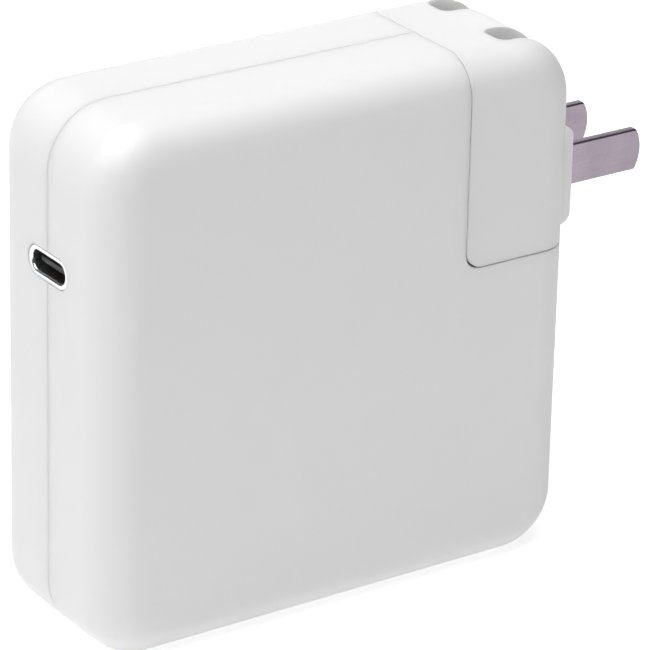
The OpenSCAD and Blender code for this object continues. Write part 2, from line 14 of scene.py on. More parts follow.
import bmesh
import bpy
import numpy as np
from mathutils import Matrix, Vector


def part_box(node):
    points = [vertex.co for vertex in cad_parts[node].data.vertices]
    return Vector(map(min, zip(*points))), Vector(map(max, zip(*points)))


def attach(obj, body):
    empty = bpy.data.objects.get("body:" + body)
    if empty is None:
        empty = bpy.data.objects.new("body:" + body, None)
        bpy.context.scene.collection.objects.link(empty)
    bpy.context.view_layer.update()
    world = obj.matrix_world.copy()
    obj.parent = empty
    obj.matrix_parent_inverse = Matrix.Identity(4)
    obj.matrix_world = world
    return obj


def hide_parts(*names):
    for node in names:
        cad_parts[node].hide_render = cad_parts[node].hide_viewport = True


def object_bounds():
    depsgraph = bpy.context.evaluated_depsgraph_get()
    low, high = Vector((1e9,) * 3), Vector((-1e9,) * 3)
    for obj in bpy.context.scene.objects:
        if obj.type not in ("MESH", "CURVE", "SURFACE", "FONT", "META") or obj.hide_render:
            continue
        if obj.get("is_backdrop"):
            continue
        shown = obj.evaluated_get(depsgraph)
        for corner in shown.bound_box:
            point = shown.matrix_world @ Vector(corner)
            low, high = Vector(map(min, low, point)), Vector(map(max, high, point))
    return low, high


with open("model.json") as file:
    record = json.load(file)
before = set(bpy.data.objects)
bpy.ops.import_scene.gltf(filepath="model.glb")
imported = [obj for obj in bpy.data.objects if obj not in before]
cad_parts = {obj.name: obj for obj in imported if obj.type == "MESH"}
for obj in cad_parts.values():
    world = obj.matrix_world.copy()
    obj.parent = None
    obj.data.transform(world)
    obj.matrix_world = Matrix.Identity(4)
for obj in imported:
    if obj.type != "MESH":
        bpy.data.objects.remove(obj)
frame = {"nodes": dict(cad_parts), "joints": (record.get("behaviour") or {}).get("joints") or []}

LOG = logging.getLogger("adapter")
MM = 0.001
WELD = 2e-6
FLAT_ANGLE = math.radians(0.5)
FLAT_WEIGHT = 60
DRAWN_OUT = (0.03, 1.0, 1.0)
RUN_EDGE = 0.36
GLOW_THROUGH = 2.6
UNEVEN = 0.4
PAST = 1.0


class Body(Enum):
    """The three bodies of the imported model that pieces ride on."""

    ADAPTER = "adapter"
    HEAD = "plug_head"
    PRONGS = "prongs"


class Relief(Enum):
    """The kind of pattern that a finish carries."""

    MOULDED = "moulded"
    BRUSHED = "brushed"
    WOUND = "wound"
    PRINTED = "printed"


# Meshes -----------------------------------------------------------------------


class Surface:
    """A mesh put together from grids and flat outlines, in millimetres."""

    def __init__(self) -> None:
        """Start with no points and no faces."""
        self.points: list[np.ndarray] = []
        self.faces: list[list[int]] = []
        self.count = 0

    def _take(self, points: np.ndarray) -> int:
        """Store points.

        Args:
            points: Any array whose last axis is X, Y and Z.

        Returns:
            The number of the first stored point.
        """
        start = self.count
        self.points.append(points.reshape(-1, 3))
        self.count += len(self.points[-1])
        return start

    def grid(self, points: np.ndarray, wrap_rows: bool = False, wrap_cols: bool = False) -> None:
        """Add a grid of four-sided faces.

        Args:
            points: Array of rows by columns by three.
            wrap_rows: Join the last row to the first.
            wrap_cols: Join the last column to the first.
        """
        rows, cols = points.shape[:2]
        start = self._take(points)
        row = np.arange(rows if wrap_rows else rows - 1)[:, None]
        col = np.arange(cols if wrap_cols else cols - 1)[None, :]
        next_row = (row + 1) % rows
        next_col = (col + 1) % cols
        corners = (
            row * cols + col,
            row * cols + next_col,
            next_row * cols + next_col,
            next_row * cols + col,
        )
        quads = np.stack(np.broadcast_arrays(*corners), axis=-1).reshape(-1, 4) + start
        self.faces.extend(quads.tolist())

    def outline(self, points: np.ndarray) -> None:
        """Add one flat face round a closed outline of points."""
        start = self._take(points)
        self.faces.append(list(range(start, start + len(points))))

    def tube(self, ends: np.ndarray) -> None:
        """Add a closed tube between two outlines of as many points.

        Args:
            ends: The two outlines, one row of points for each.
        """
        self.grid(ends, wrap_cols=True)
        for end in ends:
            self.outline(end)

    def prism(self, outline: np.ndarray, low: float, high: float) -> None:
        """Add a closed prism along Y: an outline of X and Z between two depths."""
        self.tube(np.stack([upright(outline, low), upright(outline, high)]))

    def build(self, name: str) -> bpy.types.Object:
        """Weld the patches into one closed mesh whose faces point outwards.

        Args:
            name: Name of the new piece and its mesh.

        Returns:
            The piece, linked to the scene.
        """
        mesh = bpy.data.meshes.new(name)
        mesh.from_pydata((np.concatenate(self.points) * MM).tolist(), [], self.faces)
        work = bmesh.new()
        work.from_mesh(mesh)
        bmesh.ops.remove_doubles(work, verts=work.verts, dist=WELD)
        bmesh.ops.dissolve_degenerate(work, edges=work.edges, dist=WELD)
        bmesh.ops.recalc_face_normals(work, faces=work.faces)
        work.to_mesh(mesh)
        work.free()
        piece = bpy.data.objects.new(name, mesh)
        bpy.context.scene.collection.objects.link(piece)
        return piece


def upright(outline: np.ndarray, y: float) -> np.ndarray:
    """Stand an outline of X and Z at a depth y."""
    return np.stack([outline[:, 0], np.full(len(outline), y), outline[:, 1]], axis=-1)


def arc(cx: float, cz: float, radius: float, start: float, end: float, steps: int) -> np.ndarray:
    """Points on a circle: centre plus radius times cosine and sine, angles in degrees."""
    turn = np.radians(np.linspace(start, end, steps + 1))
    return np.stack([cx + radius * np.cos(turn), cz + radius * np.sin(turn)], axis=-1)


def box_outline(low: tuple[float, float], high: tuple[float, float]) -> np.ndarray:
    """Four corners of an upright rectangle."""
    return np.array([low, (high[0], low[1]), high, (low[0], high[1])], dtype=float)


def combine(target: bpy.types.Object, other: bpy.types.Object, operation: str) -> None:
    """Join a closed piece to another, or cut it, and drop the other.

    Args:
        target: The piece that is changed.
        other: The tool, which is removed.
        operation: UNION or DIFFERENCE.
    """
    tool = target.modifiers.new("combine", "BOOLEAN")
    tool.operation = operation
    tool.solver = "EXACT"
    tool.object = other
    settle(target)
    bpy.data.objects.remove(other)


def settle(piece: bpy.types.Object) -> None:
    """Apply every modifier of a piece to its mesh.

    Args:
        piece: The piece, which keeps its name.
    """
    bpy.context.view_layer.update()
    graph = bpy.context.evaluated_depsgraph_get()
    mesh = bpy.data.meshes.new_from_object(piece.evaluated_get(graph))
    piece.modifiers.clear()
    piece.data = mesh


def soften(piece: bpy.types.Object, width: float, segments: int = 3, angle: float = 38.0) -> None:
    """Round the sharp edges of a piece and even out its shading.

    Args:
        piece: The piece.
        width: Width of the rounding in millimetres.
        segments: Steps across the rounding.
        angle: Edges sharper than this many degrees are rounded.
    """
    edge = piece.modifiers.new("edges", "BEVEL")
    edge.limit_method = "ANGLE"
    edge.angle_limit = math.radians(angle)
    edge.width = width * MM
    edge.segments = segments
    edge.use_clamp_overlap = True
    settle(piece)
    even_out(piece, FLAT_WEIGHT)


def even_out(piece: bpy.types.Object, weight: int = 50) -> None:
    """Shade a piece smoothly, with its larger faces leading the normals.

    Args:
        piece: The piece.
        weight: How strongly the larger faces lead, 50 being the usual.
    """
    piece.data.shade_smooth()
    even = piece.modifiers.new("shading", "WEIGHTED_NORMAL")
    even.keep_sharp = True
    even.weight = weight


def from_node(node: str, name: str) -> bpy.types.Object:
    """Copy a CAD node as a new piece, with its loose triangles merged and flats joined.

    Args:
        node: The CAD node, which stays as it is.
        name: Name of the new piece.

    Returns:
        The new piece, linked to the scene.
    """
    piece = bpy.data.objects.new(name, frame["nodes"][node].data.copy())
    bpy.context.scene.collection.objects.link(piece)
    work = bmesh.new()
    work.from_mesh(piece.data)
    bmesh.ops.remove_doubles(work, verts=work.verts, dist=WELD)
    bmesh.ops.dissolve_limit(work, angle_limit=FLAT_ANGLE, verts=work.verts, edges=work.edges)
    work.to_mesh(piece.data)
    work.free()
    return piece


# Finishes ---------------------------------------------------------------------


def node_group(name: str, inputs: dict[str, float]) -> "Weave":
    """Start a shader node group that puts out a colour, a roughness and a height.

    Args:
        name: Name of the group.
        inputs: Number inputs and their defaults; a colour and a place are always there.

    Returns:
        The group's weave, with its input and output nodes named in and out.
    """
    tree = bpy.data.node_groups.new(name, "ShaderNodeTree")
    face = tree.interface
    face.new_socket("Place", in_out="INPUT", socket_type="NodeSocketVector")
    face.new_socket("Colour", in_out="INPUT", socket_type="NodeSocketColor")
    for label, value in inputs.items():
        socket = face.new_socket(label, in_out="INPUT", socket_type="NodeSocketFloat")
        socket.default_value = value
    face.new_socket("Colour", in_out="OUTPUT", socket_type="NodeSocketColor")
    for label in ("Roughness", "Height"):
        face.new_socket(label, in_out="OUTPUT", socket_type="NodeSocketFloat")
    tree.nodes.new("NodeGroupInput").name = "in"
    tree.nodes.new("NodeGroupOutput").name = "out"
    return Weave(tree)


def fill(node: bpy.types.Node, values: dict[str, object]) -> None:
    """Set a node's inputs by name."""
    for label, value in values.items():
        node.inputs[label].default_value = value


class Weave:
    """Short calls that place and join the nodes of one tree."""

    def __init__(self, tree: bpy.types.NodeTree) -> None:
        """Work on one node tree."""
        self.tree = tree

    def node(self, kind: str, **settings: object) -> bpy.types.Node:
        """Add a node.

        Args:
            kind: Blender's name of the node's type.
            settings: Properties to set, by name.

        Returns:
            The new node.
        """
        made = self.tree.nodes.new(kind)
        for key, value in settings.items():
            setattr(made, key, value)
        return made

    def join(self, source: bpy.types.NodeSocket, target: bpy.types.NodeSocket) -> None:
        """Link an output to an input."""
        self.tree.links.new(source, target)

    def put(self, value: object, target: bpy.types.NodeSocket) -> None:
        """Fill an input.

        Args:
            value: An output to link, or a plain value to set.
            target: The input.
        """
        if isinstance(value, bpy.types.NodeSocket):
            self.join(value, target)
        else:
            target.default_value = value

    def maths(self, operation: str, first: object, second: object) -> bpy.types.NodeSocket:
        """Combine two numbers with a Math node.

        Args:
            operation: The Math node's operation.
            first: A number or an output.
            second: A number or an output.

        Returns:
            The result's output.
        """
        made = self.node("ShaderNodeMath", operation=operation)
        self.put(first, made.inputs[0])
        self.put(second, made.inputs[1])
        return made.outputs[0]

    def noise(self, place: object, scale: object, detail: float = 3.0) -> bpy.types.NodeSocket:
        """Noise between 0 and 1.

        Args:
            place: The output that gives the place.
            scale: Cells per metre, a number or an output.
            detail: Number of finer layers.

        Returns:
            The noise's output.
        """
        made = self.node("ShaderNodeTexNoise")
        self.put(place, made.inputs["Vector"])
        self.put(scale, made.inputs["Scale"])
        made.inputs["Detail"].default_value = detail
        return made.outputs["Fac"]

    def shade(self, colour: object, factor: object) -> bpy.types.NodeSocket:
        """Multiply a colour by a number.

        Args:
            colour: The colour's output.
            factor: A number or an output.

        Returns:
            The shaded colour's output.
        """
        made = self.node("ShaderNodeVectorMath", operation="SCALE")
        self.put(colour, made.inputs[0])
        self.put(factor, made.inputs["Scale"])
        return made.outputs[0]

    def around(self, middle: object, mask: object, spread: object) -> bpy.types.NodeSocket:
        """A number that swings round a middle: middle plus (mask - 0.5) times spread."""
        swing = self.maths("MULTIPLY", self.maths("SUBTRACT", mask, 0.5), spread)
        return self.maths("ADD", middle, swing)

    def give(self, mask: object, shade: str, gloss: object, height: object, depth: str) -> None:
        """Fill a finish group's outputs.

        Args:
            mask: Mask that shades the colour.
            shade: Name of the input that says how much.
            gloss: Mask that swings the roughness.
            height: Mask that gives the height.
            depth: Name of the input that scales the height.
        """
        given, out = self.tree.nodes["in"].outputs, self.tree.nodes["out"].inputs
        shaded = self.shade(given["Colour"], self.around(1.0, mask, given[shade]))
        self.join(shaded, out["Colour"])
        self.join(self.around(given["Roughness"], gloss, given["Gloss Swing"]), out["Roughness"])
        self.join(self.maths("MULTIPLY", height, given[depth]), out["Height"])


def moulded_group() -> bpy.types.NodeTree:
    """Moulded plastic: a fine spark-eroded grain and soft clouds of gloss.

    Returns:
        The node group.
    """
    weave = node_group(
        "moulded_surface",
        {"Grain Scale": 5200.0, "Grain": 0.5, "Cloud Scale": 60.0, "Cloud": 0.02,
         "Roughness": 0.4, "Gloss Swing": 0.06},
    )
    given = weave.tree.nodes["in"].outputs
    cloud = weave.noise(given["Place"], given["Cloud Scale"])
    grain = weave.noise(given["Place"], given["Grain Scale"], 2.0)
    weave.give(cloud, "Cloud", cloud, grain, "Grain")
    return weave.tree


def brushed_group() -> bpy.types.NodeTree:
    """Brushed metal: noise drawn out along X, over soft patches of tarnish.

    Returns:
        The node group.
    """
    weave = node_group(
        "brushed_surface",
        {"Stroke Scale": 3000.0, "Stroke": 0.5, "Patch Scale": 220.0, "Patch": 0.12,
         "Roughness": 0.3, "Gloss Swing": 0.15},
    )
    given = weave.tree.nodes["in"].outputs
    drawn = weave.node("ShaderNodeVectorMath", operation="MULTIPLY")
    weave.join(given["Place"], drawn.inputs[0])
    drawn.inputs[1].default_value = DRAWN_OUT
    stroke = weave.noise(drawn.outputs[0], given["Stroke Scale"], 4.0)
    patch = weave.noise(given["Place"], given["Patch Scale"])
    weave.give(patch, "Patch", stroke, stroke, "Stroke")
    return weave.tree


def banded_group() -> bpy.types.NodeTree:
    """Wire or tape laid turn on turn: bands across one direction, with slight unevenness.

    Returns:
        The node group.
    """
    weave = node_group(
        "banded_surface",
        {"Band Scale": 900.0, "Band": 1.0, "Shade": 0.35, "Roughness": 0.4, "Gloss Swing": 0.1},
    )
    given = weave.tree.nodes["in"].outputs
    wave = weave.node("ShaderNodeTexWave", wave_type="BANDS", bands_direction="Y")
    weave.join(given["Place"], wave.inputs["Vector"])
    weave.join(given["Band Scale"], wave.inputs["Scale"])
    wave.inputs["Distortion"].default_value = UNEVEN
    turns = wave.outputs["Fac"]
    weave.give(turns, "Shade", turns, turns, "Band")
    return weave.tree


def printed_group() -> bpy.types.NodeTree:
    """Circuit board: raised copper runs under solder mask, from the edges of cells.

    Returns:
        The node group.
    """
    weave = node_group(
        "printed_surface",
        {"Run Scale": 260.0, "Run": 1.0, "Shade": 0.5, "Roughness": 0.35, "Gloss Swing": 0.1},
    )
    given = weave.tree.nodes["in"].outputs
    cells = weave.node("ShaderNodeTexVoronoi", feature="F1", distance="CHEBYCHEV")
    weave.join(given["Place"], cells.inputs["Vector"])
    weave.join(given["Run Scale"], cells.inputs["Scale"])
    runs = weave.maths("GREATER_THAN", cells.outputs["Distance"], RUN_EDGE)
    weave.give(runs, "Shade", runs, runs, "Run")
    return weave.tree


GROUPS = {
    Relief.MOULDED: moulded_group(),
    Relief.BRUSHED: brushed_group(),
    Relief.WOUND: banded_group(),
    Relief.PRINTED: printed_group(),
}


@dataclass(frozen=True)
class Finish:
    """A finish: its colour, gloss and the pattern that it carries."""

    name: str
    colour: tuple[float, float, float]
    roughness: float = 0.4
    metallic: float = 0.0
    relief: Relief = Relief.MOULDED
    depth: float = 0.02
    coat: float = 0.0
    subsurface: float = 0.0
    values: dict[str, float] = field(default_factory=dict)

    def material(self) -> bpy.types.Material:
        """Return the material, made the first time that it is asked for."""
        found = bpy.data.materials.get(self.name + "_finish")
        return found if found else self._make()

    def _make(self) -> bpy.types.Material:
        """Build the material from the finish's shared node group.

        Returns:
            The new material.
        """
        made = bpy.data.materials.new(self.name + "_finish")
        made.use_nodes = True
        weave = Weave(made.node_tree)
        shader = made.node_tree.nodes["Principled BSDF"]
        place = weave.node("ShaderNodeTexCoord")
        group = weave.node("ShaderNodeGroup", node_tree=GROUPS[self.relief])
        weave.join(place.outputs["Object"], group.inputs["Place"])
        fill(group, {"Colour": (*self.colour, 1.0), "Roughness": self.roughness, **self.values})
        bump = weave.node("ShaderNodeBump")
        bump.inputs["Distance"].default_value = self.depth * MM
        weave.join(group.outputs["Height"], bump.inputs["Height"])
        weave.join(bump.outputs["Normal"], shader.inputs["Normal"])
        weave.join(group.outputs["Colour"], shader.inputs["Base Color"])
        weave.join(group.outputs["Roughness"], shader.inputs["Roughness"])
        fill(shader, {
            "Metallic": self.metallic,
            "Coat Weight": self.coat,
            "Subsurface Weight": self.subsurface,
            "Subsurface Scale": 1.0,
            "Subsurface Radius": (GLOW_THROUGH * MM,) * 3,
        })
        return made


WHITE = Finish("white_shell", (0.86, 0.86, 0.86), 0.42, subsurface=0.6,
               values={"Cloud": 0.012, "Gloss Swing": 0.05})
INNER_WHITE = Finish("inner_white", (0.74, 0.745, 0.745), 0.55, depth=0.03)
NICKEL = Finish("blade_nickel", (0.37, 0.318, 0.37), 0.3, 1.0, Relief.BRUSHED, 0.008,
                values={"Patch": 0.34, "Gloss Swing": 0.25})
PORT_STEEL = Finish("port_steel", (0.86, 0.87, 0.88), 0.24, 1.0, Relief.BRUSHED, 0.002)
STEEL = Finish("plain_steel", (0.6, 0.61, 0.63), 0.35, 1.0, Relief.BRUSHED, 0.004)
CONTACT_BRASS = Finish("contact_brass", (0.72, 0.56, 0.28), 0.3, 1.0, Relief.BRUSHED, 0.003)
COPPER = Finish("copper", (0.68, 0.4, 0.22), 0.35, 1.0, Relief.BRUSHED, 0.003)
WIRE = Finish("copper_wire", (0.68, 0.36, 0.18), 0.35, 0.9, Relief.WOUND, 0.2,
              values={"Band Scale": 220.0})
BOARD = Finish("board_green", (0.05, 0.2, 0.1), 0.35, relief=Relief.PRINTED, depth=0.03)
BLACK = Finish("black_plastic", (0.025, 0.025, 0.028), 0.45, depth=0.02)
GOLD = Finish("gold_contact", (0.83, 0.62, 0.25), 0.25, 1.0, Relief.BRUSHED, 0.001)
SLEEVE = Finish("can_sleeve", (0.03, 0.035, 0.05), 0.3, coat=0.3)
FERRITE = Finish("ferrite", (0.05, 0.05, 0.055), 0.6, depth=0.04)
TAPE = Finish("yellow_tape", (0.65, 0.47, 0.08), 0.35, relief=Relief.WOUND, depth=0.05,
              values={"Band Scale": 120.0, "Shade": 0.12})
BLUE = Finish("blue_coat", (0.05, 0.13, 0.38), 0.3, coat=0.4)
SPREADER = Finish("spreader_copper", (0.66, 0.42, 0.27), 0.35, 1.0, Relief.BRUSHED, 0.004)
FILM = Finish("insulating_film", (0.8, 0.77, 0.64), 0.3, depth=0.01)
ALUMINIUM = Finish("aluminium", (0.72, 0.73, 0.75), 0.35, 1.0, Relief.BRUSHED, 0.006)
PAD = Finish("thermal_grey", (0.4, 0.47, 0.52), 0.75, depth=0.08)


# Sizes ------------------------------------------------------------------------


def node_box(node: str) -> tuple[np.ndarray, np.ndarray]:
    """Lowest and highest corners of a CAD node, in millimetres."""
    low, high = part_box(node)
    return np.array(low) / MM, np.array(high) / MM


@dataclass(frozen=True)
class Sizes:
    """Sizes that several parts of the adapter share, in millimetres."""

    side: float
    depth: float
    head_x: float
    head_z: float
    hinge_x: float
    hinge_z: float
    corner: float = 9.2
    edge: float = 5.9
    wall: float = 1.8
    head_wall: float = 1.6
    head_corner: float = 2.8
    bay_gap: float = 0.15
    seam_lip: float = 0.1
    seam_half: float = 0.04
    bay_lip: float = 0.16
    bay_pinch: float = 0.4

    @classmethod
    def from_frame(cls) -> "Sizes":
        """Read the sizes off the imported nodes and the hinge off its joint.

        Returns:
            The sizes.
        """
        low, high = node_box("front_case")
        rear = node_box("rear_case")[1]
        head = node_box("head_shell")[0]
        hinge = next(j for j in frame["joints"] if j["name"] == "prong_fold")["pos_m"]
        return cls(
            side=float(high[2] - low[2]),
            depth=float(rear[1] - low[1]),
            head_x=float(head[0]),
            head_z=float(head[2]),
            hinge_x=hinge[0] / MM,
            hinge_z=hinge[2] / MM,
        )

    @property
    def middle(self) -> float:
        """Distance of a corner's centre from the middle line."""
        return self.side / 2 - self.corner

    @property
    def top(self) -> float:
        """Height of the upper corners' centres."""
        return self.side - self.corner


# Shells of the case and head --------------------------------------------------


@dataclass(frozen=True)
class Rim:
    """Stations round the square outline: centre, direction and inset of each."""

    cx: np.ndarray
    cz: np.ndarray
    turn: np.ndarray
    inset: np.ndarray

    @classmethod
    def joined(cls, pieces: list[np.ndarray]) -> "Rim":
        """Join rows of centre x, centre z, direction in degrees and inset."""
        rows = np.concatenate(pieces)
        return cls(rows[:, 0], rows[:, 1], np.radians(rows[:, 2]), rows[:, 3])

    def points(self, draw: np.ndarray, depth: np.ndarray, corner: float) -> np.ndarray:
        """Carry a section round the outline.

        A point is its station's centre plus (corner radius - draw) along the
        station's direction, at the section's depth.

        Args:
            draw: How far the section lies inside the outline, a row for each station.
            depth: Y of the section, in the same rows.
            corner: Radius of the outline's corners.

        Returns:
            Array of stations by section points by three.
        """
        reach = corner - draw
        x = self.cx[:, None] + reach * np.cos(self.turn)[:, None]
        z = self.cz[:, None] + reach * np.sin(self.turn)[:, None]
        return np.stack([x, depth, z], axis=-1)


def lip(radius: float, steps: int = 4) -> tuple[np.ndarray, np.ndarray]:
    """Quarter round of a lip, from the skin to the cut.

    Args:
        radius: Radius of the lip.
        steps: Steps round it.

    Returns:
        How far each station lies short of the cut, and how deep under the skin:
        radius times (1 - sine) and radius times (1 - cosine).
    """
    turn = np.radians(np.linspace(0.0, 90.0, steps + 1))
    return radius * (1.0 - np.sin(turn)), radius * (1.0 - np.cos(turn))


def bend(cx: float, cz: float, start: float, end: float, steps: int = 24) -> np.ndarray:
    """Rim stations that turn round one corner."""
    turn = np.linspace(start, end, steps + 1)
    return np.stack([np.full_like(turn, cx), np.full_like(turn, cz), turn, turn * 0.0], axis=-1)


def edge_section(sizes: Sizes, inset: np.ndarray, steps: int = 18) -> tuple[np.ndarray, np.ndarray]:
    """Draw and depth of the rounded edge at each station.

    The arc's centre stays in place and its radius is the edge radius less the inset.

    Args:
        sizes: Shared sizes.
        inset: How far each station lies under the skin.
        steps: Steps round the edge.

    Returns:
        Draw and depth, a row for each station.
    """
    turn = np.radians(np.linspace(0.0, 90.0, steps + 1))[None, :]
    radius = (sizes.edge - inset)[:, None]
    draw = sizes.edge - radius * np.cos(turn)
    depth = sizes.depth / 2 - sizes.edge + radius * np.sin(turn)
    return draw, depth


def seam_section(sizes: Sizes, inset: np.ndarray, steps: int = 4) -> tuple[np.ndarray, np.ndarray]:
    """Draw and depth of the small lip where the two halves meet.

    The lip is a quarter round that starts at the parting face and ends on the skin.

    Args:
        sizes: Shared sizes.
        inset: How far each station lies under the skin.
        steps: Steps round the lip.

    Returns:
        Draw and depth, a row for each station.
    """
    turn = np.radians(np.linspace(0.0, 90.0, steps + 1))[None, :]
    radius = np.clip(sizes.seam_lip - inset, 0.0, None)[:, None]
    flat = np.maximum(inset, sizes.seam_lip)[:, None]
    return flat - radius * np.sin(turn), radius * (1.0 - np.cos(turn))


def bay_edge(
    sizes: Sizes, gap: float, radius: float, facing: float, short: np.ndarray, deep: np.ndarray
) -> np.ndarray:
    """Bay's edge across one large face, from the top to the plug side, once for each lip step.

    Args:
        sizes: Shared sizes.
        gap: How far the edge lies outside the plug head.
        radius: Radius of its corner.
        facing: -1 for the front face, 1 for the rear face.
        short: How far each row is moved into the bay.
        deep: How deep each row lies under the face.

    Returns:
        Array of rows by points by three.
    """
    x, z = sizes.head_x - gap, sizes.head_z - gap
    rows = []
    for inwards, under in zip(short, deep):
        path = np.concatenate([
            [[x + inwards, sizes.side - sizes.edge]],
            arc(x + radius, z + radius, radius - inwards, 180.0, 270.0, 12),
            [[sizes.side / 2 - sizes.edge, z + inwards]],
        ])
        rows.append(upright(path, facing * (sizes.depth / 2 - under)))
    return np.stack(rows)


@dataclass
class CaseHalf:
    """One moulded half of the case, less the bay of the plug head."""

    sizes: Sizes
    node: str
    facing: float
    rounding: float = 0.1

    def rim(self) -> Rim:
        """Stations from the plug side down, round the base and outlet side to the top.

        Returns:
            The stations, with a lip at each end.
        """
        s = self.sizes
        short, deep = lip(s.bay_lip)
        bay_z = s.head_z - s.bay_gap
        bay_x = s.head_x - s.bay_gap
        flat = np.zeros_like(short)
        start = np.stack([flat + s.middle, bay_z - short, flat, deep], axis=-1)[::-1]
        end = np.stack([bay_x - short, flat + s.top, flat - 270.0, deep], axis=-1)
        return Rim.joined([
            start,
            bend(s.middle, s.corner, 0.0, -90.0),
            bend(-s.middle, s.corner, -90.0, -180.0),
            bend(-s.middle, s.top, -180.0, -270.0),
            end,
        ])

    def surface(self) -> Surface:
        """Outer skin, inner skin, parting faces and the cut along the bay.

        Returns:
            The half's closed surface.
        """
        s = self.sizes
        rim = self.rim()
        made = Surface()
        outer = self._skin(rim, rim.inset)
        inner = self._skin(rim, np.full_like(rim.inset, s.wall))
        made.grid(outer)
        made.grid(inner)
        made.grid(np.stack([outer[:, 0], inner[:, 0]]))
        for end in (0, -1):
            made.grid(np.stack([outer[end], inner[end]]))
        short, deep = lip(s.bay_lip)
        radius = s.head_corner + s.bay_gap - s.bay_pinch
        inwards, under = -np.append(short, 0.0), np.append(deep, s.wall)
        edge = bay_edge(s, s.bay_gap, radius, self.facing, inwards, under)
        made.grid(edge)
        ends = len(short) - 1
        made.outline(np.concatenate([outer[ends:len(outer) - ends, -1], edge[0]]))
        made.outline(np.concatenate([inner[:, -1], edge[-1]]))
        return made

    def _skin(self, rim: Rim, inset: np.ndarray) -> np.ndarray:
        """The rim's skin, seam lip first.

        Args:
            rim: The stations.
            inset: How far the skin lies inside the outer one, for each station.

        Returns:
            Array of stations by section points by three.
        """
        seam_draw, seam_depth = seam_section(self.sizes, inset)
        draw, depth = edge_section(self.sizes, inset)
        section = np.concatenate([seam_draw, draw], axis=1)
        depths = np.concatenate([seam_depth + self.sizes.seam_half, depth], axis=1)
        return rim.points(section, depths * self.facing, self.sizes.corner)

    def build(self) -> bpy.types.Object:
        """Make the half, cut the outlet's opening and dress it.

        Returns:
            The finished half.
        """
        piece = self.surface().build(self.node + "_shell")
        port = OutletSizes.from_frame()
        hole = Surface()
        grow = port.rim + port.fit
        stations = np.array([port.face - PAST, port.face + self.sizes.wall + PAST])
        ring = port.ring(stations, np.array([grow, grow]))
        hole.tube(ring)
        combine(piece, hole.build("hole"), "DIFFERENCE")
        soften(piece, self.rounding)
        return finish_piece(piece, WHITE, Body.ADAPTER, self.node)


def finish_piece(
    piece: bpy.types.Object, finish: Finish, body: Body, *nodes: str
) -> bpy.types.Object:
    """Dress a piece, let it ride on a body and let it stand for CAD nodes.

    Args:
        piece: The new piece.
        finish: Its finish.
        body: The body that it rides on.
        nodes: The CAD nodes that it replaces.

    Returns:
        The same piece.
    """
    piece.data.materials.clear()
    piece.data.materials.append(finish.material())
    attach(piece, body.value)
    if nodes:
        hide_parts(*nodes)
    LOG.info("%s: %d faces on %s", piece.name, len(piece.data.polygons), body.value)
    return piece


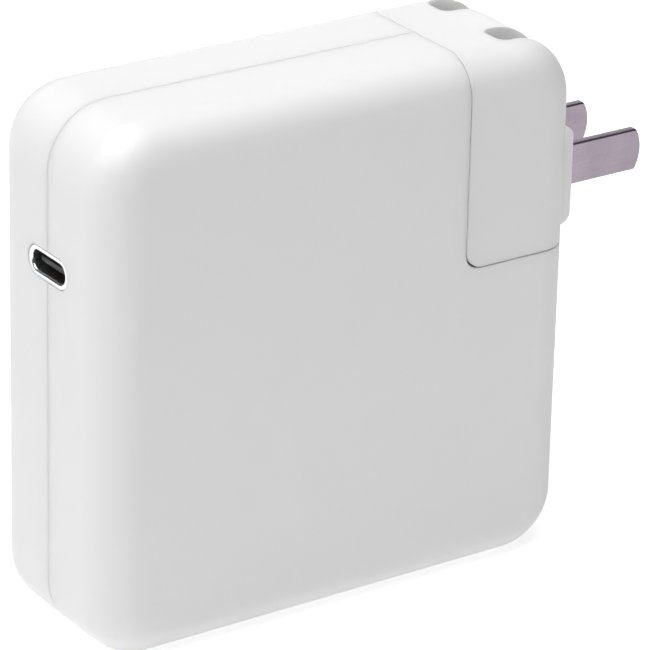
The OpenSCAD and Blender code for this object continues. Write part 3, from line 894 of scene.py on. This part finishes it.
@dataclass
class PlugHead:
    """Shell of the removable plug head, with its recess and finger slots."""

    sizes: Sizes
    slot_near: float = 4.4
    slot_far: float = 9.4
    slot_back: float = 28.825
    slot_round: float = 1.5
    recess_half: float = 9.4
    recess_reach: float = 12.0
    recess_back: float = -9.15
    swing_gap: float = 0.25
    hub_gap: float = 0.15
    leaf_back: float = 3.75
    leaf_wide: float = 0.75
    leaf_slot: tuple[float, float] = (-1.65, 0.15)
    cheek_half: float = 11.0
    housing_x: float = 23.5
    floor: float = 0.85
    rounding: float = 0.22

    def rim(self) -> Rim:
        """Stations from the top edge of the bay round the corner to the plug side.

        Returns:
            The stations, with a lip at each end.
        """
        s = self.sizes
        short, deep = lip(s.bay_lip)
        flat = np.zeros_like(short)
        start = np.stack([s.head_x + short, flat + s.top, flat + 90.0, deep], axis=-1)[::-1]
        end = np.stack([flat + s.middle, s.head_z + short, flat, deep], axis=-1)
        return Rim.joined([start, bend(s.middle, s.top, 90.0, 0.0), end])

    def surface(self) -> Surface:
        """Outer and inner skins from face to face, with the lips round the open sides.

        Returns:
            The shell's closed surface.
        """
        s = self.sizes
        rim = self.rim()
        made = Surface()
        outer = self._skin(rim, rim.inset)
        inner = self._skin(rim, np.full_like(rim.inset, s.head_wall))
        made.grid(outer)
        made.grid(inner)
        for end in (0, -1):
            made.grid(np.stack([outer[end], inner[end]]))
        short, deep = lip(s.bay_lip)
        ends = len(short) - 1
        inwards, under = np.append(short, 0.0), np.append(deep, s.head_wall)
        for facing, column in ((-1.0, 0), (1.0, -1)):
            edge = bay_edge(s, 0.0, s.head_corner, facing, inwards, under)
            made.grid(edge)
            skin = outer[ends:len(outer) - ends, column]
            made.outline(np.concatenate([skin, edge[0, ::-1]]))
            made.outline(np.concatenate([inner[:, column], edge[-1, ::-1]]))
        return made

    def _skin(self, rim: Rim, inset: np.ndarray) -> np.ndarray:
        """The rim's skin from the front face to the rear face.

        Args:
            rim: The stations.
            inset: How far the skin lies inside the outer one, for each station.

        Returns:
            Array of stations by section points by three.
        """
        draw, depth = edge_section(self.sizes, inset)
        section = np.concatenate([draw[:, ::-1], draw], axis=1)
        depths = np.concatenate([-depth[:, ::-1], depth], axis=1)
        return rim.points(section, depths, self.sizes.corner)

    def housing(self) -> Surface:
        """Block that holds the carrier and the walls of the finger slots.

        Returns:
            The block's closed surface.
        """
        s = self.sizes
        inset = s.head_wall / 2
        low = s.head_z + self.floor
        step = s.hinge_z + self.recess_reach + s.head_wall
        back = self.slot_back - s.head_wall
        outline = np.concatenate([
            [[self.housing_x, low], [self.housing_x, step], [back, step], [back, s.side - inset]],
            arc(s.middle, s.top, s.corner - inset, 90.0, 0.0, 24),
            [[s.side / 2 - inset, low]],
        ])
        made = Surface()
        made.prism(outline, -self.cheek_half, self.cheek_half)
        return made

    def recess(self) -> Surface:
        """Space that the carrier swings in, from arcs round the hinge.

        Returns:
            The cutter's closed surface.
        """
        s = self.sizes
        small = s.side / 2 - s.hinge_x + self.hub_gap
        back = self.recess_back
        reach = self.recess_reach
        wide = math.degrees(math.acos(back / reach))
        start = 180.0 + math.degrees(math.asin(self.swing_gap / small))
        outline = np.concatenate([
            arc(0.0, 0.0, small, 270.0, start, 16),
            [[back, -self.swing_gap]],
            arc(0.0, 0.0, reach, wide, 0.0, 32),
            [[reach, -small]],
        ])
        made = Surface()
        made.prism(outline + [s.hinge_x, s.hinge_z], -self.recess_half, self.recess_half)
        return made

    def slots(self) -> list[Surface]:
        """Finger slots and the narrow slots of the leaf contacts.

        Returns:
            One cutter for each slot.
        """
        s = self.sizes
        made = []
        leaf_y = node_box("line_contact")[1][1]
        for side in (-1.0, 1.0):
            near, far = sorted((side * self.slot_near, side * self.slot_far))
            made.append(self._slot(near, far))
            leaf = Surface()
            leaf_x = s.hinge_x - self.leaf_back
            outline = box_outline((leaf_x, s.head_z), (leaf_x + self.leaf_wide, s.hinge_z))
            near, far = sorted(side * (leaf_y + edge) for edge in self.leaf_slot)
            leaf.prism(outline, near, far)
            made.append(leaf)
        return made

    def _slot(self, near: float, far: float) -> Surface:
        """Cutter of one finger slot, upright and with rounded inner corners.

        Args:
            near: The lower of its two sides along Y.
            far: The higher side.

        Returns:
            The cutter's closed surface.
        """
        r = self.slot_round
        plan = np.concatenate([
            [[self.sizes.side, far]],
            arc(self.slot_back + r, far - r, r, 90.0, 180.0, 8),
            arc(self.slot_back + r, near + r, r, 180.0, 270.0, 8),
            [[self.sizes.side, near]],
        ])
        heights = np.array([self.sizes.hinge_z, self.sizes.side * 2])
        rings = np.concatenate([
            np.broadcast_to(plan, (2, *plan.shape)),
            np.broadcast_to(heights[:, None, None], (2, len(plan), 1)),
        ], axis=2)
        made = Surface()
        made.tube(rings)
        return made

    def build(self) -> bpy.types.Object:
        """Join the shell and the housing, open the recess and slots, and dress it.

        Returns:
            The finished shell.
        """
        piece = self.surface().build("head_skin")
        combine(piece, self.housing().build("housing"), "UNION")
        combine(piece, self.recess().build("recess"), "DIFFERENCE")
        for number, slot in enumerate(self.slots()):
            combine(piece, slot.build(f"slot_{number}"), "DIFFERENCE")
        soften(piece, self.rounding)
        return finish_piece(piece, WHITE, Body.HEAD, "head_shell")


# Outlet -----------------------------------------------------------------------


@dataclass(frozen=True)
class OutletSizes:
    """The USB-C outlet's sizes, in millimetres."""

    face: float
    back: float
    height: float
    width: float
    high: float
    inner_rim: float = 0.62
    rim: float = 0.78
    shell: float = 0.12
    fit: float = 0.12
    wall: float = 1.8
    sunk: float = 0.12
    outer_round: float = 0.12
    inner_round: float = 0.32

    @classmethod
    def from_frame(cls) -> "OutletSizes":
        """Read the outlet's place and its inner size off its packed shell.

        Returns:
            The outlet's sizes.
        """
        low, high = node_box("usb_shell")
        rim = cls.inner_rim
        return cls(
            face=float(low[0]),
            back=float(high[0]),
            height=float(low[2] + high[2]) / 2,
            width=float(high[1] - low[1]) - 2 * rim,
            high=float(high[2] - low[2]) - 2 * rim,
        )

    def ring(self, x: np.ndarray, grow: np.ndarray, steps: int = 20) -> np.ndarray:
        """Carry a section round the outlet's rounded slot.

        The slot is two half circles joined by straights.

        Args:
            x: Place of each ring along X.
            grow: How far each ring lies outside the inner wall.
            steps: Steps round each half circle.

        Returns:
            Array of rings by points by three.
        """
        turn = np.radians(np.concatenate([
            np.linspace(-90.0, 90.0, steps + 1),
            np.linspace(90.0, 270.0, steps + 1),
        ]))
        middle = np.repeat([1.0, -1.0], steps + 1) * (self.width - self.high) / 2
        radius = (self.high / 2 + grow)[:, None]
        y = middle[None, :] + radius * np.cos(turn)[None, :]
        z = self.height + radius * np.sin(turn)[None, :]
        return np.stack([np.broadcast_to(x[:, None], y.shape), y, z], axis=-1)


@dataclass
class Outlet:
    """The steel shell and rim of the outlet."""

    sizes: OutletSizes

    def build(self) -> bpy.types.Object:
        """Carry the shell's section round the slot, with a rounded rim.

        Returns:
            The finished rim and sleeve.
        """
        s = self.sizes
        outer, inner = s.outer_round, s.inner_round
        nose = np.radians(np.linspace(90.0, 180.0, 6))
        mouth = np.radians(np.linspace(180.0, 270.0, 9))
        x = np.concatenate([
            [s.back, s.back, s.face + s.wall, s.face + s.wall],
            s.face + s.sunk + outer + outer * np.cos(nose),
            s.face + s.sunk + inner + inner * np.cos(mouth),
        ])
        grow = np.concatenate([
            [0.0, s.shell, s.shell, s.rim],
            s.rim - outer + outer * np.sin(nose),
            inner + inner * np.sin(mouth),
        ])
        made = Surface()
        made.grid(s.ring(x, grow), wrap_rows=True, wrap_cols=True)
        piece = made.build("outlet_rim")
        even_out(piece)
        return finish_piece(piece, PORT_STEEL, Body.ADAPTER, "usb_shell")


# Blades -----------------------------------------------------------------------


@dataclass
class Prongs:
    """The mains blades and the carrier that they fold with."""

    sizes: Sizes
    circle: float = 5.9
    out: float = 8.9
    pad_edge: float = 1.8
    pad_drop: float = 0.5
    pad_in: float = 6.25
    half: float = 9.1
    blade_t: float = 1.5
    blade_y: float = 6.35
    blade_low: float = -1.375
    blade_high: float = 4.975
    eye: float = 3.0
    root: float = 1.0
    tip: float = 23.0
    tip_round: float = 5.5
    slit: float = 1.3
    slit_gap: float = 0.15
    coin: float = 1.6
    thinned: float = 0.3
    pad_rounding: float = 0.35
    blade_rounding: float = 0.28

    def carrier_outline(self) -> np.ndarray:
        """Round hub joined to the square pad with rounded outer edges.

        Returns:
            Outline in X and Z round the hinge.
        """
        r = self.pad_edge
        low = -self.circle - self.pad_drop
        return np.concatenate([
            [[0.0, -self.circle], [self.pad_in, -self.circle], [self.pad_in, low]],
            arc(self.out - r, low + r, r, -90.0, 0.0, 10),
            arc(self.out - r, self.out - r, r, 0.0, 90.0, 10),
            [[0.0, self.out]],
            arc(0.0, 0.0, self.circle, 90.0, 270.0, 40)[:-1],
        ])

    def blade_outline(self) -> np.ndarray:
        """Flat blade whose tip is one arc, with a round eye at the hinge.

        Returns:
            Outline in X and Z round the hinge.
        """
        r = self.tip_round
        top = math.degrees(math.acos(self.root / self.eye))
        bottom = 360.0 + math.degrees(math.asin(self.blade_low / self.eye))
        middle = (self.blade_low + self.blade_high) / 2
        sweep = math.degrees(math.asin((self.blade_high - middle) / r))
        return np.concatenate([
            arc(self.tip - r, middle, r, -sweep, sweep, 16),
            [[self.root, self.blade_high]],
            arc(0.0, 0.0, self.eye, top, bottom, 30),
        ])

    def carrier(self) -> bpy.types.Object:
        """Make the carrier with the slits that clear the leaf contacts.

        Returns:
            The finished carrier.
        """
        s = self.sizes
        at_hinge = [s.hinge_x, s.hinge_z]
        made = Surface()
        made.prism(self.carrier_outline() + at_hinge, -self.half, self.half)
        piece = made.build("blade_carrier")
        reach = self.circle + PAST
        outline = box_outline((-reach, -reach), (self.slit, self.out + PAST))
        half = self.blade_t / 2 + self.slit_gap
        for side in (-1.0, 1.0):
            cut = Surface()
            middle = side * self.blade_y
            cut.prism(outline + at_hinge, middle - half, middle + half)
            combine(piece, cut.build("slit"), "DIFFERENCE")
        soften(piece, self.pad_rounding, 4)
        return finish_piece(piece, WHITE, Body.PRONGS, "prong_carrier")

    def blade(self, node: str, side: float) -> bpy.types.Object:
        """Make one blade, thinned towards its coined tip.

        The half thickness falls by a smooth step over the last few millimetres.

        Args:
            node: The CAD node that it replaces.
            side: -1 for the front blade, 1 for the rear blade.

        Returns:
            The finished blade.
        """
        s = self.sizes
        made = Surface()
        outline = self.blade_outline() + [s.hinge_x, s.hinge_z]
        made.prism(outline, -self.blade_t / 2, self.blade_t / 2)
        piece = made.build(node + "_plate")
        soften(piece, self.blade_rounding, 4)
        mesh = piece.data
        flat = np.empty(len(mesh.vertices) * 3)
        mesh.vertices.foreach_get("co", flat)
        points = flat.reshape(-1, 3)
        tip = (s.hinge_x + self.tip) * MM
        coin = self.coin * MM
        rise = np.clip((points[:, 0] - (tip - coin)) / coin, 0.0, 1.0)
        points[:, 1] *= 1.0 - self.thinned * rise * rise * (3.0 - 2.0 * rise)
        points[:, 1] += side * self.blade_y * MM
        mesh.vertices.foreach_set("co", points.ravel())
        mesh.update()
        return finish_piece(piece, NICKEL, Body.PRONGS, node)

    def build(self) -> None:
        """Make the carrier and both blades."""
        self.carrier()
        self.blade("line_blade", 1.0)
        self.blade("neutral_blade", -1.0)


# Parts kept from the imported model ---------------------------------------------


@dataclass(frozen=True)
class Inside:
    """The CAD nodes that keep their own meshes, and those that get rounded edges."""

    kept: tuple[tuple[Finish, tuple[str, ...]], ...] = (
        (COPPER, ("line_lead", "neutral_lead", "line_contact", "neutral_contact")),
        (CONTACT_BRASS, ("line_socket", "neutral_socket")),
        (STEEL, ("stud_nut", "hinge_pins")),
        (BOARD, ("main_board", "output_board")),
        (GOLD, ("usb_contacts",)),
        (SLEEVE, ("bulk_capacitor", "output_capacitors")),
        (FERRITE, ("transformer_core", "choke_core")),
        (BLACK, ("transformer_bobbin", "fuse", "bridge_rectifier", "switching_transistor",
                 "controller_chips", "usb_tongue")),
        (TAPE, ("transformer_winding", "x_capacitor")),
        (WIRE, ("choke_winding",)),
        (BLUE, ("y_capacitor", "varistor")),
        (ALUMINIUM, ("primary_heatsink",)),
        (SPREADER, ("front_spreader", "rear_spreader")),
        (FILM, ("front_insulator", "rear_insulator")),
        (PAD, ("thermal_pad",)),
    )
    rounded: tuple[tuple[str, Finish, Body, float], ...] = (
        ("bay_liner", INNER_WHITE, Body.ADAPTER, 0.15),
        ("line_pin", CONTACT_BRASS, Body.ADAPTER, 0.05),
        ("neutral_pin", CONTACT_BRASS, Body.ADAPTER, 0.05),
        ("lock_stud", STEEL, Body.ADAPTER, 0.15),
        ("head_base", INNER_WHITE, Body.HEAD, 0.12),
        ("stud_clip", STEEL, Body.HEAD, 0.08),
    )

    def build(self) -> None:
        """Dress the kept nodes and make rounded copies of the others."""
        for finish, nodes in self.kept:
            for node in nodes:
                for slot in frame["nodes"][node].material_slots:
                    slot.material = finish.material()
        for node, finish, body, width in self.rounded:
            piece = from_node(node, node + "_part")
            soften(piece, width, 2, 30.0)
            finish_piece(piece, finish, body, node)


# Studio -----------------------------------------------------------------------


@dataclass(frozen=True)
class View:
    """The camera's place, from an orbit round a point on the adapter."""

    azimuth: float = -34.61
    elevation: float = 23.78
    roll: float = 1.38
    distance: float = 0.64187
    target: tuple[float, float, float] = (0.00632, 0.0, 0.03781)
    lens: float = 247.35
    sensor: float = 36.0
    nearest: float = 0.05

    def build(self) -> None:
        """Place the camera and make it the scene's."""
        back = direction(self.azimuth, self.elevation)
        lens = bpy.data.cameras.new("camera")
        lens.lens = self.lens
        lens.sensor_width = self.sensor
        lens.clip_start = self.nearest
        camera = bpy.data.objects.new("camera", lens)
        bpy.context.scene.collection.objects.link(camera)
        stand = back.to_track_quat("Z", "Y").to_matrix().to_4x4()
        tilt = Matrix.Rotation(math.radians(self.roll), 4, "Z")
        eye = Matrix.Translation(Vector(self.target) + back * self.distance)
        camera.matrix_world = eye @ stand @ tilt
        bpy.context.scene.camera = camera


def direction(azimuth: float, elevation: float) -> Vector:
    """Unit vector towards a viewpoint, from the sines and cosines of its two angles.

    Args:
        azimuth: Degrees round Z; 0 is in front and 90 on the plug side.
        elevation: Degrees above the table.

    Returns:
        The vector.
    """
    turn, rise = math.radians(azimuth), math.radians(elevation)
    return Vector((
        math.sin(turn) * math.cos(rise),
        -math.cos(turn) * math.cos(rise),
        math.sin(rise),
    ))


@dataclass(frozen=True)
class Softbox:
    """A square studio light that hangs in a direction and faces the adapter."""

    name: str
    azimuth: float
    elevation: float
    distance: float
    width: float
    power: float
    target: tuple[float, float, float] = (0.0, 0.0, 0.04)

    def build(self) -> None:
        """Hang the light and turn it towards its target."""
        lamp = bpy.data.lights.new(self.name, "AREA")
        lamp.shape = "SQUARE"
        lamp.size = self.width
        lamp.energy = self.power
        light = bpy.data.objects.new(self.name, lamp)
        bpy.context.scene.collection.objects.link(light)
        aim = direction(self.azimuth, self.elevation)
        light.rotation_mode = "QUATERNION"
        light.rotation_quaternion = aim.to_track_quat("Z", "Y")
        light.location = Vector(self.target) + aim * self.distance
        light.visible_camera = False


@dataclass(frozen=True)
class Studio:
    """White light table, dim room and soft lights, the largest overhead."""

    room: float = 0.03
    table_white: float = 0.8
    table_half: float = 3000.0
    table_low: float = -0.02
    glow: float = 0.32
    seen_glow: float = 0.62
    lights: tuple[Softbox, ...] = (
        Softbox("overhead_light", 0.0, 88.0, 1.3, 1.2, 9.0),
        Softbox("rear_light", 240.0, 62.0, 1.3, 0.8, 5.8),
        Softbox("side_light", 300.0, 62.0, 1.3, 0.8, 7.9),
        Softbox("rim_light", 135.0, 8.0, 1.3, 0.8, 2.1),
    )

    def build(self) -> None:
        """Lay the table, dim the room and hang the lights."""
        bpy.context.scene.view_settings.view_transform = "Standard"
        self._room()
        self._table()
        for light in self.lights:
            light.build()

    def _room(self) -> None:
        """White to look at, but dim as a light."""
        world = bpy.data.worlds.new("room")
        world.use_nodes = True
        weave = Weave(world.node_tree)
        back = world.node_tree.nodes["Background"]
        back.inputs["Color"].default_value = (1, 1, 1, 1)
        seen = weave.node("ShaderNodeLightPath").outputs["Is Camera Ray"]
        weave.join(weave.maths("MAXIMUM", seen, self.room), back.inputs["Strength"])
        bpy.context.scene.world = world

    def _table(self) -> None:
        """Lay a wide table top that glows evenly and is clear from below."""
        made = Surface()
        half = self.table_half
        square = box_outline((-half, -half), (half, half))
        made.outline(np.append(square, np.full((4, 1), self.table_low), axis=1))
        table = made.build("table")
        top = bpy.data.materials.new("table_white")
        top.use_nodes = True
        shader = top.node_tree.nodes["Principled BSDF"]
        fill(shader, {
            "Base Color": (*(self.table_white,) * 3, 1),
            "Roughness": 1.0,
            "Specular IOR Level": 0.0,
            "Emission Color": (1, 1, 1, 1),
        })
        weave = Weave(top.node_tree)
        seen = weave.node("ShaderNodeLightPath").outputs["Is Camera Ray"]
        glow = weave.maths("MAXIMUM", weave.maths("MULTIPLY", seen, self.seen_glow), self.glow)
        weave.join(glow, shader.inputs["Emission Strength"])
        below = weave.node("ShaderNodeNewGeometry").outputs["Backfacing"]
        clear = weave.node("ShaderNodeBsdfTransparent").outputs["BSDF"]
        choice = weave.node("ShaderNodeMixShader")
        weave.join(below, choice.inputs["Fac"])
        weave.join(shader.outputs["BSDF"], choice.inputs[1])
        weave.join(clear, choice.inputs[2])
        surface = top.node_tree.nodes["Material Output"].inputs["Surface"]
        weave.join(choice.outputs["Shader"], surface)
        table.data.materials.append(top)
        table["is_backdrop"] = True


def corners(box: tuple[Vector, Vector]) -> list[list[float]]:
    """A box as plain lists of numbers."""
    return [list(box[0]), list(box[1])]


def main(cad_box: tuple[Vector, Vector]) -> None:
    """Build the camera, the pieces and the studio in order.

    Args:
        cad_box: The whole model's box straight after loading; not used.
    """
    logging.basicConfig(level=logging.INFO, format="%(message)s")
    View().build()
    sizes = Sizes.from_frame()
    CaseHalf(sizes, "front_case", -1.0).build()
    CaseHalf(sizes, "rear_case", 1.0).build()
    PlugHead(sizes).build()
    Outlet(OutletSizes.from_frame()).build()
    Prongs(sizes).build()
    Inside().build()
    Studio().build()


if __name__ == "__main__":
    main(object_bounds())
